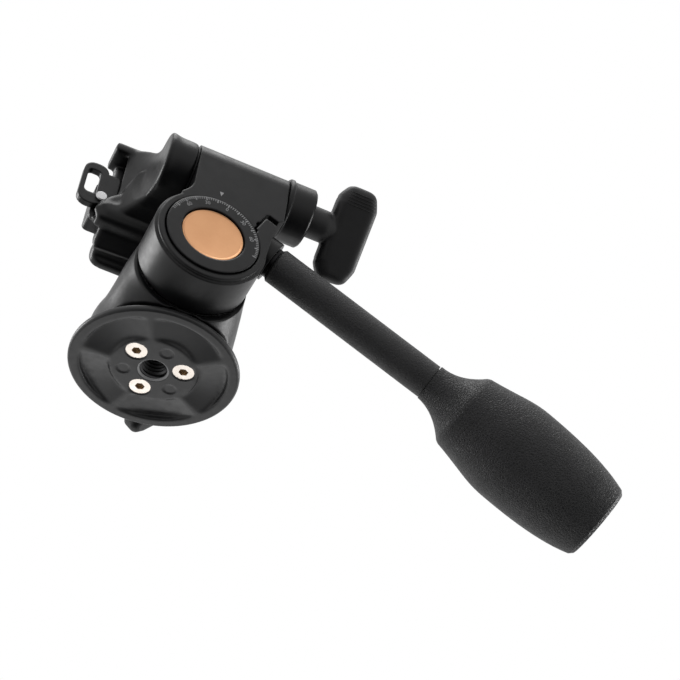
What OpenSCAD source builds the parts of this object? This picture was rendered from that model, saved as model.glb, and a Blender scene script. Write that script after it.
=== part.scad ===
// Three-way tripod pan head: pan about Z, tilt about Y, flip about X, with a twist-lock handle.
// Millimetres. The origin is the centre of the tripod face, +Z runs up the pan axis.
// The platform is drawn flipped down to portrait, as it is carried.

/* [Base] */
// Diameter of the base flange
base_d = 60; // [54:1:70]
// Thickness of the base flange
base_t = 5; // [4:0.5:7]
// Diameter of the tripod thread
thread_d = 9.525; // [6.35, 9.525]
// Depth of the tripod thread
thread_len = 13; // [10:0.5:14]
// Number of scooped set-screw pockets
pocket_count = 5; // [3:1:6]
// Depth of a scooped pocket at its middle
pocket_depth = 1.8; // [0.8:0.1:2.4]
// Radius of the base screw circle
base_screw_circle_r = 10.5; // [10:0.1:11]
// Diameter of the base screws
base_screw_d = 4; // [3:0.5:4.5]

/* [Pan housing] */
// Radius of the pan housing at its foot
housing_r = 25.5; // [24.5:0.5:28]
// Height of the top of the dome
dome_top = 33; // [30:0.5:34]
// Height of the tilt axis
tilt_z = 25.8; // [25:0.2:28]

/* [Tilt casting] */
// Outer radius of the tilt drum
drum_r = 20.3; // [19:0.1:22]
// Y of the front face of the drum
drum_front_y = -46; // [-50:0.5:-44]
// Length of the drum along its axis
drum_len = 18.5; // [17:0.5:22]
// Radius of the dial recess in the drum face
dial_recess_r = 17.2; // [16:0.1:18]
// Radius of the tilt axle
axle_r = 11.5; // [10:0.5:12]
// Radius of the coloured axle cap
cap_r = 11.2; // [9:0.1:12.5]
// Thickness of the tilt liner
liner_t = 1.2; // [0.8:0.1:1.4]
// Width of the clamp slot
slot_w = 1.8; // [1.2:0.1:2.4]
// Distance of the clamp slot from the tilt axis, along the handle
slot_u = 9.2; // [8.5:0.1:10]

/* [Cross tube] */
// Outer radius of the cross tube
tube_r = 10.5; // [9.5:0.1:11]
// Height of the flip axis
roll_z = 62.5; // [60:0.5:68]
// X of the left end of the cross tube
tube_x0 = -10.2; // [-14:0.2:-8]
// X of the right end of the cross tube
tube_x1 = 23.8; // [22:0.2:30]
// Radius of the flip shaft
shaft_r = 5; // [4:0.25:5.5]
// Length of the hub on the platform
hub_len = 10.4; // [8:0.2:13]

/* [Handle] */
// Angle of the handle below the horizontal
handle_pitch = 22.8; // [15:0.1:30]
// Offset of the handle axis from the tilt axis
handle_v = 16.7; // [16.5:0.1:18]
// Radius of the handle rod
rod_r = 6.5; // [6:0.05:7.5]
// Length of the bare rod
rod_len = 67.5; // [50:0.5:100]
// Length of the grip
grip_len = 75; // [60:1:100]
// Widest radius of the grip
grip_r = 18.2; // [15:0.1:21]
// Droop of the grip below the rod
grip_droop = 4.5; // [0:0.5:5]
// Radius of the clamp stud
stud_r = 3; // [2.5:0.25:3.25]

/* [Knobs] */
// Depth of the wing of the flip knob along its axis
wing_depth = 15.5; // [11:0.5:18]
// Half length of the wing of the flip knob
wing_half = 18; // [14:0.5:20]
// Thickness of the wing of the flip knob
wing_t = 9.5; // [7:0.5:11]
// Half length of the wing of the pan knob
pan_wing_half = 11; // [9:0.5:11.5]
// Bearing of the pan knob from +X
pan_knob_bearing = 73; // [60:1:110]

/* [Platform] */
// Distance of the underside of the platform from the flip axis
plat_n0 = 19; // [18.5:0.5:22]
// Thickness of the platform
plat_t = 19; // [17.5:0.5:22]
// Half width of the platform across its rails
plat_w = 24; // [24:0.5:28]
// X of the front end of the rails
plat_x0 = -32; // [-36:0.5:-30]
// X of the rear end of the rails
plat_x1 = 22.5; // [22:0.5:30]
// Reach of the underside pad past each end of the rails
pad_over = 4.2; // [3:0.2:7]
// Half width of the plate channel at its floor
channel_w = 16.6; // [14:0.2:17]
// Depth of the plate channel
channel_t = 9.8; // [8:0.2:11]
// Overhang of the quick plate past each end of the platform
plate_over = 5.2; // [2:0.1:7]
// Thickness of the rubber pad
pad_t = 1.5; // [1:0.1:2.5]
// Diameter of the camera screw
camera_d = 6.35; // [6.35, 9.525]
// Height of the camera screw above the pad
camera_len = 5.5; // [4.5:0.1:7]

/* [Hidden] */
$fn = 96;
corner_steps = 5;
curve_steps = 8;
dome_steps = 20;

// Clearances
run = 0.05;
seat = 0.1;
gap = 0.3;
seam = 0.4;
eps = 0.01;
over = 1;
through = 200;

// Pan stack heights
base_r = base_d / 2;
edge_c = 0.7;
rim_t = 2;
friction_t = 0.8;
keeper_t = 3;
keeper_z0 = base_t + friction_t + seat;
keeper_z1 = keeper_z0 + keeper_t;
flange_z0 = keeper_z1 + seat;
flange_t = 5;
flange_z1 = flange_z0 + flange_t;
pan_washer_z1 = flange_z1 + friction_t;
cavity_z1 = pan_washer_z1 + seat;
housing_z0 = base_t + seam;
spindle_flange_r = housing_r - 7.5;
spindle_neck_r = spindle_flange_r - 3.5;
keeper_r = housing_r - 2;
keeper_head_r = 2.7;
keeper_head_h = 1.6;
keeper_screw_r = keeper_r - keeper_head_r - gap;
keeper_screw_count = 4;
keeper_screw_start = 45;
keeper_screw_d = 3;
keeper_hex_af = 2;
keeper_hex_depth = 1.2;
keeper_screw_len = 9;
boss_r = 7.9;
pocket_in_r = 15.5;
pocket_out_r = base_r - 4.3;
pocket_land = 2.5;
pocket_half = 180 / pocket_count - pocket_land;
pocket_start = -76;
base_screw_count = 3;
base_screw_start = 216.4;
base_screw_len = 12;
base_head_r = 3.85;
base_head_h = 2.2;
base_hex_af = 3;
base_hex_depth = 2;
head_recess = 0.3;
thread_r = thread_d / 2;
thread_c = 0.7;
mark_r = 2.5;
mark_depth = 0.3;
brake_z = (flange_z0 + flange_z1) / 2;
brake_r = 2.4;
brake_len = 3;
pan_screw_end = housing_r + 10;
pan_neck_r = 4.4;
pan_wing_t = 8;
pan_wing_x0 = housing_r + 4.5;
pan_wing_x1 = pan_wing_x0 + 9.5;
pan_fair = 7.5;
wing_fn = 20;
wing_shoulder = 0.22;
wing_turn = 45;
neck_taper = 3;

// Tilt stack along Y
drum_back_y = drum_front_y + drum_len;
barrel_y = drum_back_y + seam;
dial_proud = 0.6;
dial_t = 2.6;
dial_gap = 0.5;
dial_y = drum_front_y - dial_proud;
flange_y = dial_y + dial_t;
disc_t = 2.4;
axle_shoulder_y = flange_y + disc_t;
recess_floor_y = axle_shoulder_y + 2 * seat;
dial_r = dial_recess_r - dial_gap;
liner_out_r = axle_r + run + liner_t;
drum_bore_r = liner_out_r + run;
spigot_r = 9;
spigot_end_y = -11;
bolt_r = 4;
bolt_end_y = -3;
bolt_head_r = 6.5;
bolt_head_t = 6;
bolt_hex_af = 6;
bolt_hex_depth = 3.5;
washer_t = 1.2;
counterbore_r = bolt_head_r + 2 * gap;
cap_sunk = 0.5;
cap_y = dial_y + cap_sunk;
cap_edge = 0.5;
cap_spigot_t = 1.4;
head_y = flange_y + cap_spigot_t + gap;
head_end_y = head_y + bolt_head_t;
counterbore_end_y = head_end_y + washer_t;
tilt_washer_t = 1;
washer_well_r = drum_r - 1.2;
washer_well_y = drum_back_y + tilt_washer_t + seat;
lip_h = 1.4;
lip_in = 0.9;
dome_foot = 7;
barrel_collar = 3;
barrel_step = 0.8;
barrel_round_y = barrel_y + 5;
barrel_round_len = 18;

// Cross tube stack along X
roll_y = drum_front_y + tube_r;
bush_len = 8;
bush_r = 6.5;
hub_x1 = tube_x0 - friction_t;
hub_x0 = hub_x1 - hub_len;
collar_x0 = tube_x1 + seam;
collar_len = 10.6;
collar_x1 = collar_x0 + collar_len;
collar_r = tube_r + 0.6;
collar_lip = 0.5;
collar_lip_len = 2;
collar_spigot = 4;
collar_well_r = 7.2;
collar_washer_t = 1.4;
collar_well = collar_washer_t;
knob_x0 = collar_x1 + gap;
neck_r = 6;
neck_fair = 6;
wing_x0 = collar_x1 + 8;
wing_x1 = wing_x0 + wing_depth;
stud_x1 = wing_x0 + 4;
shaft_x1 = collar_x1 - gap;
shaft_thread_r = 3;
insert_r = 4.1;
shaft_in_hub = hub_len - 2;
pin_r = 1.25;
pin_x = (hub_x0 + hub_x1) / 2;
pin_y1 = tube_r - 2.5;

// Handle frame: u along the rod, v away from the tilt axis
handle_y = drum_front_y + drum_len / 2;
boss_u = 19.5;
ear_r = 7.5;
ear_top_v = 23;
ear_w = 4.6;
ear_crown = 1.2;
ear_foot = 4;
ear_heel_v = 7;
ear_relief = 2.4;
handle_washer_t = 1;
rod_u0 = boss_u + handle_washer_t + 2 * seat;
grip_u0 = rod_u0 + rod_len;
core_r = 5.5;
grip_shoulder = 0.195;
shoulder_r = grip_r - 4.4;
grip_swell = 0.52;
end_r = grip_r - 4;
grip_edge = 1.2;
grip_steps = 12;
rod_edge = 0.9;
core_len = 60;
stud_u0 = -2;
stud_u1 = rod_u0 + 15;

// Platform frame: x along, y across (down in portrait), z away from the flip axis
plat_n1 = plat_n0 + plat_t;
pad_w = plat_w - 7.5;
pad_top = plat_n0 + 6.4;
flare_w = plat_w - 2.2;
flare_n = plat_n1 - 7;
rail_n = plat_n1 - 4.5;
channel_n = plat_n1 - channel_t;
dovetail = 1.6;
skirt_t = 4;
plate_x0 = plat_x0 - plate_over;
plate_x1 = plat_x1 + plate_over;
plate_mid_x = (plate_x0 + plate_x1) / 2;
screw_head_r = 8;
screw_head_t = 3;
screw_sink = 0.8;
stud_clear = 0.2;
camera_shank_r = camera_d / 2 - 0.5;
coin_slot_w = 1.6;
coin_slot_depth = 1.1;
plate_corner = 6;
nose_w = 7.8;
nose_corner = 2;
pad_inset = 3.8;
panel_t = 1;
panel_inset = 1.8;
panel_ledge_y = -0.5;
pad_tip = 4;
pad_heel_y = -12.5;
pad_heel = 11;
pad_waist_y = 1.5;
pad_waist = 2.5;
pad_sweep = 6.5;
pad_lean = 5;
rail_corner = 4.5;
hub_flare = 0.8;
arm_foot = 9;
arm_rise = 9;
lever_t = 2.6;
lever_n = plat_n0 + 3.4;
lever_pin_r = 1.5;
lever_pin_x = plat_x0 - 3.2;
lever_pin_y = 5;
lever_loop_len = 20.5;
lever_loop_up = 16;
lever_reach = 8.6;
lever_bar = 1.7;
lever_corner = 4;
lever_boss_r = 3.6;
lever_tail = 5.5;
lever_slot_t = lever_t + 2 * gap;
lever_slot_w = 15;
lever_slot_len = 7.5;
rivet_r = 2.2;
rivet_h = 1;
lug_n = lever_n + lever_t + gap;
lug_reach = 2.4;
lug_root = 4;
lug_corner = 2;
lug_y0 = lever_pin_y - 5;
lug_y1 = lever_pin_y + 8;

function bezier(a, b, c, d, steps) = [
    for (i = [0 : steps])
        let (t = i / steps, s = 1 - t)
        s * s * s * a + 3 * s * s * t * b + 3 * s * t * t * c + t * t * t * d
];

// Rounded rectangle as a list of points, corner by corner
function corner(x, y, r, from) = [
    for (i = [0 : corner_steps])
        let (a = from + 90 * i / corner_steps)
        [x + r * cos(a), y + r * sin(a)]
];

function round_rect(x0, y0, x1, y1, r) = concat(
    corner(x1 - r, y1 - r, r, 0), corner(x0 + r, y1 - r, r, 90),
    corner(x0 + r, y0 + r, r, 180), corner(x1 - r, y0 + r, r, 270)
);

// Quarter of an ellipse as (radius, height), from the rim to the axis
function quarter(r, from, h) = [
    for (i = [0 : dome_steps])
        let (a = 90 * i / dome_steps)
        [r * cos(a), from + h * sin(a)]
];

// Cylinders laid along X and along Y
module rod_x(r, x0, x1) {
    translate([x0, 0, 0]) rotate([0, 90, 0]) cylinder(r = r, h = x1 - x0);
}

module rod_y(r, y0, y1) {
    translate([0, y0, 0]) rotate([-90, 0, 0]) cylinder(r = r, h = y1 - y0);
}

module ring(r_in, r_out, z0, z1) {
    difference() {
        translate([0, 0, z0]) cylinder(r = r_out, h = z1 - z0);
        translate([0, 0, z0 - over]) cylinder(r = r_in, h = z1 - z0 + 2 * over);
    }
}

// Frames
module at_tilt() {
    translate([0, 0, tilt_z]) children();
}

module at_roll() {
    translate([0, roll_y, roll_z]) children();
}

module at_handle() {
    translate([0, handle_y, tilt_z]) rotate([0, handle_pitch, 0]) children();
}

module at_rod() {
    at_handle() translate([0, 0, handle_v]) children();
}

module at_platform() {
    at_roll() rotate([-90, 0, 0]) children();
}

module at_pan_knob() {
    translate([0, 0, brake_z]) rotate([0, 0, pan_knob_bearing]) children();
}

module around(count, start, r) {
    for (i = [0 : count - 1]) rotate([0, 0, start + i * 360 / count]) translate([r, 0, 0]) children();
}

// Base: a flat cone with its tip at the centre, dipped below the face, cuts each pocket
module scoop() {
    rise = atan(2 * pocket_depth / (pocket_in_r + pocket_out_r));
    dip = atan((cos(rise) - cos(pocket_half)) / sin(rise));
    cone_h = base_d * cos(dip + rise);
    intersection() {
        ring(pocket_in_r, pocket_out_r, -over, base_t);
        rotate([0, 90 + dip, 0]) cylinder(r1 = 0, r2 = cone_h * tan(dip + rise), h = cone_h);
    }
}

module countersunk(r_head, h_head, r_hole, len, lip = 0) {
    rotate_extrude() polygon(concat(
        [[0, -lip], [r_head, -lip]],
        lip > 0 ? [[r_head, 0]] : [],
        [[r_hole, h_head], [r_hole, len], [0, len]]
    ));
}

module base_plate() {
    color([0.16, 0.16, 0.17])
    difference() {
        union() {
            rotate_extrude() polygon([
                [0, 0], [base_r - edge_c, 0], [base_r, edge_c],
                [base_r, rim_t], [housing_r + edge_c, base_t], [0, base_t]
            ]);
            cylinder(r = boss_r, h = thread_len);
        }
        rotate_extrude() polygon([
            [0, -over], [thread_r + thread_c + over, -over], [thread_r, thread_c],
            [thread_r, through], [0, through]
        ]);
        for (i = [0 : pocket_count - 1]) rotate([0, 0, pocket_start + i * 360 / pocket_count]) scoop();
        around(base_screw_count, base_screw_start, base_screw_circle_r) translate([0, 0, head_recess])
            countersunk(base_head_r + seat, base_head_h, base_screw_d / 2 + seat, through, over);
        around(base_screw_count, base_screw_start + 180 / base_screw_count, base_screw_circle_r)
            translate([0, 0, -over]) cylinder(r = mark_r, h = over + mark_depth);
    }
}

module hex_socket(across_flats, h) {
    cylinder(d = across_flats / cos(30), h = h, $fn = 6);
}

module base_screws() {
    color([0.85, 0.86, 0.87])
    around(base_screw_count, base_screw_start, base_screw_circle_r)
    difference() {
        translate([0, 0, head_recess + seat])
            countersunk(base_head_r, base_head_h, base_screw_d / 2, base_screw_len);
        translate([0, 0, -over]) hex_socket(base_hex_af, over + base_hex_depth);
    }
}

module pan_spindle() {
    color([0.55, 0.55, 0.56])
    difference() {
        union() {
            translate([0, 0, base_t]) cylinder(r = spindle_neck_r, h = flange_z0 - base_t + eps);
            translate([0, 0, flange_z0]) cylinder(r = spindle_flange_r, h = flange_t);
        }
        cylinder(r = boss_r + run, h = through, center = true);
        around(base_screw_count, base_screw_start, base_screw_circle_r)
            cylinder(r = base_screw_d / 2 + run, h = through);
    }
}

module base_washer() {
    color([0.85, 0.83, 0.76])
    ring(spindle_neck_r + gap, spindle_flange_r, base_t, base_t + friction_t);
}

// Pan housing
module dome() {
    arc_z = housing_z0 + dome_foot;
    arc_h = dome_top - arc_z;
    rotate_extrude() polygon(concat(
        [[0, housing_z0], [housing_r - edge_c, housing_z0], [housing_r, housing_z0 + edge_c]],
        quarter(housing_r, arc_z, arc_h)
    ));
}

module barrel() {
    waist_r = drum_r - barrel_step;
    at_tilt() rotate([-90, 0, 0]) rotate_extrude() polygon(concat(
        [
            [0, barrel_y], [drum_r - edge_c, barrel_y], [drum_r, barrel_y + edge_c],
            [drum_r, barrel_y + barrel_collar], [waist_r, barrel_y + barrel_collar + barrel_step]
        ],
        quarter(waist_r, barrel_round_y, barrel_round_len)
    ));
}

module pan_housing() {
    color([0.1, 0.1, 0.105])
    difference() {
        union() {
            dome();
            barrel();
        }
        translate([0, 0, housing_z0 - over])
            cylinder(r = keeper_r + seat, h = keeper_z1 - housing_z0 + over);
        translate([0, 0, housing_z0]) cylinder(r = spindle_flange_r + gap, h = cavity_z1 - housing_z0);
        around(keeper_screw_count, keeper_screw_start, keeper_screw_r)
            cylinder(d = keeper_screw_d + 2 * run, h = keeper_z0 + keeper_screw_len + over);
        at_pan_knob() rod_x(brake_r + seat, spindle_flange_r, pan_screw_end);
        at_tilt() {
            rod_y(spigot_r + run, barrel_y - over, spigot_end_y + seat);
            rod_y(bolt_r + run, barrel_y, bolt_end_y + gap);
            rod_y(washer_well_r, barrel_y - over, washer_well_y);
        }
    }
}

module keeper_ring() {
    color([0.6, 0.6, 0.6])
    difference() {
        ring(spindle_neck_r + gap, keeper_r, keeper_z0, keeper_z1);
        around(keeper_screw_count, keeper_screw_start, keeper_screw_r) translate([0, 0, keeper_z0])
            countersunk(
                keeper_head_r + seat, keeper_head_h, keeper_screw_d / 2 + seat, keeper_t + over, over
            );
    }
}

module keeper_screws() {
    color([0.75, 0.75, 0.76])
    around(keeper_screw_count, keeper_screw_start, keeper_screw_r) translate([0, 0, keeper_z0 + seat])
    difference() {
        countersunk(keeper_head_r, keeper_head_h, keeper_screw_d / 2, keeper_screw_len);
        translate([0, 0, -over]) hex_socket(keeper_hex_af, over + keeper_hex_depth);
    }
}

module pan_washer() {
    color([0.85, 0.83, 0.76])
    ring(boss_r + gap, spindle_flange_r, flange_z1, pan_washer_z1);
}

module pan_brake_shoe() {
    color([0.9, 0.88, 0.8])
    at_pan_knob()
    difference() {
        rod_x(brake_r, spindle_flange_r - over, spindle_flange_r + brake_len);
        translate([0, 0, -brake_z]) cylinder(r = spindle_flange_r + seat, h = through);
    }
}

// Wing knobs: the shaft runs along X, and a rounded paddle lies across it on local Z
module wing(x0, x1, half, t) {
    round_r = t / 3;
    shoulder = wing_shoulder * half;
    in_x = x0 + round_r;
    out_x = x1 - round_r;
    top = half - round_r;
    outline = [
        [in_x, top - shoulder], [in_x + shoulder, top], [out_x - shoulder / 3, top], [out_x, top - shoulder]
    ];
    hull()
    for (side = [-1, 1], face = [-1, 1], p = outline)
        translate([p[0], face * (t / 2 - round_r), side * p[1]]) sphere(r = round_r, $fn = wing_fn);
}

// Turned neck that fairs into the paddle
module knob_neck(r, x0, x1, fair) {
    rotate([0, 90, 0]) rotate_extrude()
        polygon([[0, x0], [r, x0], [r, x1], [r - fair / neck_taper, x1 + fair], [0, x1 + fair]]);
}

module pan_knob() {
    color([0.09, 0.09, 0.095])
    at_pan_knob()
    difference() {
        union() {
            knob_neck(pan_neck_r, housing_r + 2 * gap, pan_wing_x0, pan_fair);
            rotate([wing_turn, 0, 0]) wing(pan_wing_x0, pan_wing_x1, pan_wing_half, pan_wing_t);
        }
        rod_x(brake_r + run, housing_r, pan_screw_end);
    }
}

module pan_knob_screw() {
    color([0.75, 0.75, 0.76])
    at_pan_knob() rod_x(brake_r, spindle_flange_r + brake_len + seat, pan_screw_end - seat);
}

// Tilt axle stack
module tilt_axle() {
    color([0.5, 0.5, 0.51])
    at_tilt()
    difference() {
        union() {
            rod_y(axle_r, axle_shoulder_y, washer_well_y);
            rod_y(spigot_r, barrel_y, spigot_end_y);
        }
        rod_y(bolt_r + seat, drum_front_y, 0);
        rod_y(counterbore_r, drum_front_y, counterbore_end_y);
    }
}

module axle_disc() {
    color([0.5, 0.5, 0.51])
    at_tilt()
    difference() {
        rod_y(dial_r, flange_y, axle_shoulder_y);
        rod_y(counterbore_r, flange_y - over, axle_shoulder_y + over);
    }
}

module tilt_dial() {
    color([0.11, 0.11, 0.115])
    at_tilt()
    difference() {
        rod_y(dial_r, dial_y, flange_y);
        rod_y(cap_r + gap, dial_y - over, flange_y + over);
    }
}

module axle_cap() {
    color([0.84, 0.66, 0.46])
    at_tilt() {
        rotate([-90, 0, 0]) rotate_extrude() polygon([
            [0, cap_y], [cap_r - cap_edge, cap_y], [cap_r, cap_y + cap_edge],
            [cap_r, flange_y], [0, flange_y]
        ]);
        rod_y(counterbore_r - seat, flange_y - eps, flange_y + cap_spigot_t);
    }
}

module axle_bolt() {
    color([0.7, 0.7, 0.71])
    at_tilt()
    difference() {
        union() {
            rod_y(bolt_head_r, head_y, head_end_y);
            rod_y(bolt_r, head_end_y - eps, bolt_end_y);
        }
        translate([0, head_y - over, 0]) rotate([-90, 0, 0]) hex_socket(bolt_hex_af, over + bolt_hex_depth);
    }
}

module axle_bolt_washer() {
    color([0.72, 0.72, 0.73])
    at_tilt()
    difference() {
        rod_y(counterbore_r - seat, head_end_y, counterbore_end_y);
        rod_y(bolt_r + gap, head_y, 0);
    }
}

module tilt_washer() {
    color([0.85, 0.83, 0.76])
    at_tilt()
    difference() {
        rod_y(washer_well_r - 2 * seat, drum_back_y + seat, drum_back_y + tilt_washer_t);
        rod_y(axle_r + gap, drum_back_y - over, 0);
    }
}

// Tilt casting: clamp drum, web, ear and cross tube in one piece
module drum() {
    shoulder_y = drum_front_y + lip_h;
    lip_r = drum_r - lip_in;
    at_tilt() rotate([-90, 0, 0]) rotate_extrude() polygon([
        [0, drum_back_y], [drum_r - edge_c, drum_back_y], [drum_r, drum_back_y - edge_c],
        [drum_r, shoulder_y + edge_c / 2], [drum_r - edge_c / 2, shoulder_y], [lip_r, shoulder_y],
        [lip_r, drum_front_y + edge_c / 2], [lip_r - edge_c / 2, drum_front_y], [0, drum_front_y]
    ]);
}

// Flat web between drum and tube, seen from the front, with its left side swept into the drum
module web_outline() {
    sweep_a = 132;
    sweep = 3;
    drum_top = tilt_z + drum_r;
    sweep_end = [drum_r * cos(sweep_a), tilt_z + drum_r * sin(sweep_a)];
    polygon(concat(
        [[tube_x0, roll_z]],
        bezier([tube_x0, drum_top + sweep / 2], [tube_x0, drum_top - sweep / 2],
            [sweep_end[0] + sweep / 2, sweep_end[1] + sweep / 2], sweep_end, curve_steps),
        [
            [-drum_r / 2, tilt_z], [drum_r / 2, tilt_z],
            [drum_r * cos(45), tilt_z + drum_r * sin(45)], [tube_x1, drum_top - over], [tube_x1, roll_z]
        ]
    ));
}

module along_x(x0, x1) {
    translate([x0, 0, 0]) rotate([90, 0, 90]) linear_extrude(x1 - x0) children();
}

module along_y(y0, y1) {
    translate([0, y1, 0]) rotate([90, 0, 0]) linear_extrude(y1 - y0) children();
}

module ear() {
    crown_u = slot_u + ear_w;
    at_handle() along_y(-drum_len / 2, drum_len / 2 - over) polygon(concat(
        [[slot_u, -ear_foot]],
        bezier([slot_u, ear_top_v - ear_crown], [slot_u, ear_top_v],
            [slot_u, ear_top_v], [slot_u + ear_crown, ear_top_v], curve_steps / 2),
        bezier([crown_u - ear_crown, ear_top_v], [crown_u, ear_top_v],
            [crown_u, ear_top_v], [crown_u + gap, ear_top_v - 1.5 * ear_crown], curve_steps / 2),
        [[boss_u - ear_crown, ear_heel_v], [boss_u - ear_foot, -ear_foot]]
    ));
    at_rod() rod_x(ear_r, slot_u, boss_u);
}

// The saw cut beside the ear and the relief over it
module clamp_slot() {
    slot_in = slot_u - slot_w / 2;
    slot_out = slot_u + slot_w / 2;
    relief_v = ear_top_v + ear_relief;
    relief_u = slot_out + 11;
    at_handle() along_y(-through, through) polygon([
        [slot_in, 0], [slot_out, 0], [slot_out, ear_top_v], [through, ear_top_v],
        [through, ear_top_v + seat], [relief_u, relief_v],
        [slot_in + over, relief_v], [slot_in, relief_v - over]
    ]);
}

module tilt_casting() {
    color([0.11, 0.11, 0.115])
    difference() {
        union() {
            difference() {
                union() {
                    drum();
                    along_y(drum_front_y, drum_back_y) web_outline();
                }
                clamp_slot();
            }
            difference() {
                ear();
                at_handle() rod_y(drum_r - 2 * over, -through, through);
            }
            at_roll() rod_x(tube_r, tube_x0, tube_x1);
        }
        at_tilt() {
            rod_y(drum_bore_r, drum_front_y - over, drum_back_y + over);
            rod_y(dial_recess_r, drum_front_y - over, recess_floor_y);
        }
        at_rod() rod_x(stud_r + seat, stud_u0 - over, boss_u + over);
        at_roll() rod_x(bush_r + run, tube_x0 - over, tube_x1 + over);
    }
}

module tilt_liner() {
    color([0.85, 0.83, 0.76])
    difference() {
        at_tilt() difference() {
            rod_y(liner_out_r, recess_floor_y + seat, drum_back_y);
            rod_y(axle_r + run, drum_front_y, 0);
        }
        clamp_slot();
    }
}

module roll_bushes() {
    color([0.85, 0.83, 0.76])
    at_roll()
    for (x = [tube_x0, tube_x1 - collar_spigot - bush_len - seat])
        difference() {
            rod_x(bush_r, x, x + bush_len);
            rod_x(shaft_r + run, x - over, x + bush_len + over);
        }
}

module roll_collar() {
    lip_x1 = collar_x0 + collar_lip_len;
    color([0.1, 0.1, 0.105])
    at_roll() rotate([0, 90, 0]) rotate_extrude() polygon([
        [shaft_r + seat, collar_x0 - collar_spigot - seam], [bush_r, collar_x0 - collar_spigot - seam],
        [bush_r, collar_x0], [collar_r, collar_x0], [collar_r + collar_lip, collar_x0 + collar_lip],
        [collar_r + collar_lip, lip_x1 - collar_lip], [collar_r, lip_x1],
        [collar_r, collar_x1 - edge_c], [collar_r - edge_c, collar_x1], [collar_well_r, collar_x1],
        [collar_well_r, collar_x1 - collar_well], [shaft_r + seat, collar_x1 - collar_well]
    ]);
}

module collar_washer() {
    color([0.72, 0.72, 0.73])
    at_roll()
    difference() {
        rod_x(collar_well_r - gap, collar_x1 - collar_well, collar_x1 - collar_well + collar_washer_t);
        rod_x(shaft_r + seat, 0, through);
    }
}

// Handle
module handle_rod() {
    bore_r = stud_r + run;
    bore_u1 = stud_u1 + over / 2;
    color([0.07, 0.07, 0.075])
    at_rod() rotate([0, 90, 0]) rotate_extrude() polygon([
        [bore_r, rod_u0], [rod_r - rod_edge, rod_u0], [rod_r, rod_u0 + rod_edge], [rod_r, grip_u0],
        [core_r, grip_u0], [core_r, grip_u0 + core_len], [0, grip_u0 + core_len],
        [0, bore_u1], [bore_r, bore_u1]
    ]);
}

module handle_stud() {
    color([0.75, 0.75, 0.76])
    at_rod() rod_x(stud_r, stud_u0, stud_u1);
}

module handle_washer() {
    color([0.72, 0.72, 0.73])
    at_rod()
    difference() {
        rod_x(rod_r - rod_edge, boss_u + seat, boss_u + seat + handle_washer_t);
        rod_x(stud_r + gap, 0, through);
    }
}

module handle_grip() {
    mouth_r = rod_r + gap;
    shoulder_u = grip_shoulder * grip_len;
    swell_u = grip_swell * grip_len;
    end_u = grip_len - grip_edge;
    profile = concat(
        bezier([0, mouth_r], [shoulder_u / 2, mouth_r],
            [shoulder_u - 2 * grip_edge, shoulder_r - 2 * grip_edge], [shoulder_u, shoulder_r], grip_steps),
        bezier([shoulder_u + grip_edge, shoulder_r + grip_edge / 2],
            [shoulder_u + swell_u / 3, shoulder_r + swell_u / 15],
            [swell_u - swell_u / 5, grip_r], [swell_u, grip_r], grip_steps),
        bezier([swell_u, grip_r], [swell_u + swell_u / 3, grip_r],
            [end_u - swell_u / 4, end_r + swell_u / 12], [end_u, end_r], grip_steps)
    );
    color([0.13, 0.13, 0.135])
    at_rod() translate([grip_u0 + seat, 0, 0])
    difference() {
        rotate([0, 90 + grip_droop, 0]) rotate_extrude() polygon(concat(
            [[0, 0]], [for (p = profile) [p[1], p[0]]], [[end_r - grip_edge, grip_len], [0, grip_len]]
        ));
        rod_x(core_r + run, -over, core_len + gap);
        translate([-through, 0, 0]) cube(2 * through, center = true);
    }
}

// Flip knob
module roll_knob() {
    color([0.09, 0.09, 0.095])
    at_roll()
    difference() {
        union() {
            knob_neck(neck_r, knob_x0, wing_x0 - over, neck_fair);
            rotate([wing_turn, 0, 0]) wing(wing_x0, wing_x1, wing_half, wing_t);
        }
        rod_x(insert_r + run, knob_x0 - over, stud_x1 + over);
    }
}

module roll_knob_insert() {
    color([0.75, 0.6, 0.3])
    at_roll()
    difference() {
        rod_x(insert_r, knob_x0 + seat, stud_x1 + over);
        rod_x(shaft_thread_r + run, 0, stud_x1 + gap);
    }
}

// Platform
module platform_section() {
    half = [
        [pad_w, pad_top], [flare_w, flare_n], [flare_w, rail_n], [plat_w, rail_n + edge_c],
        [plat_w, plat_n1], [channel_w - dovetail, plat_n1], [channel_w, channel_n]
    ];
    polygon(concat(half, [for (i = [len(half) - 1 : -1 : 0]) [-half[i][0], half[i][1]]]));
}

// Plan of the rails with rounded corners
module rail_outline() {
    polygon(round_rect(plat_x0, -plat_w, plat_x1, plat_w, rail_corner));
}

// Underside pad with its S-curved front edge, the same at the rear
function pad_front(tip_x, waist_x, heel_x) =
    let (tip_y = pad_w - pad_tip)
    concat(
        bezier([heel_x, pad_heel_y], [heel_x - pad_sweep, pad_heel_y],
            [waist_x + pad_sweep / 2, pad_waist_y - pad_sweep], [waist_x, pad_waist_y], curve_steps),
        bezier([waist_x, pad_waist_y], [waist_x - pad_lean / 2, pad_waist_y + pad_lean],
            [tip_x, pad_waist_y + pad_lean], [tip_x, tip_y], curve_steps),
        [[tip_x + pad_tip / 2, pad_w]]
    );

// Raised panel on the pad, from its ledge to the pad's lower edge
function panel_front(tip_x, waist_x) =
    let (side_x = tip_x + panel_inset, tip_y = pad_w - pad_tip - over)
    concat(
        bezier([waist_x + pad_tip, panel_ledge_y], [waist_x, panel_ledge_y + pad_lean],
            [side_x, panel_ledge_y + pad_lean], [side_x, tip_y], curve_steps),
        [[side_x + pad_tip / 2, pad_w - panel_inset]]
    );

module both_ends(front, mirror_x) {
    rear = [for (i = [len(front) - 1 : -1 : 0]) [mirror_x - front[i][0], front[i][1]]];
    polygon(concat(front, rear));
}

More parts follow.
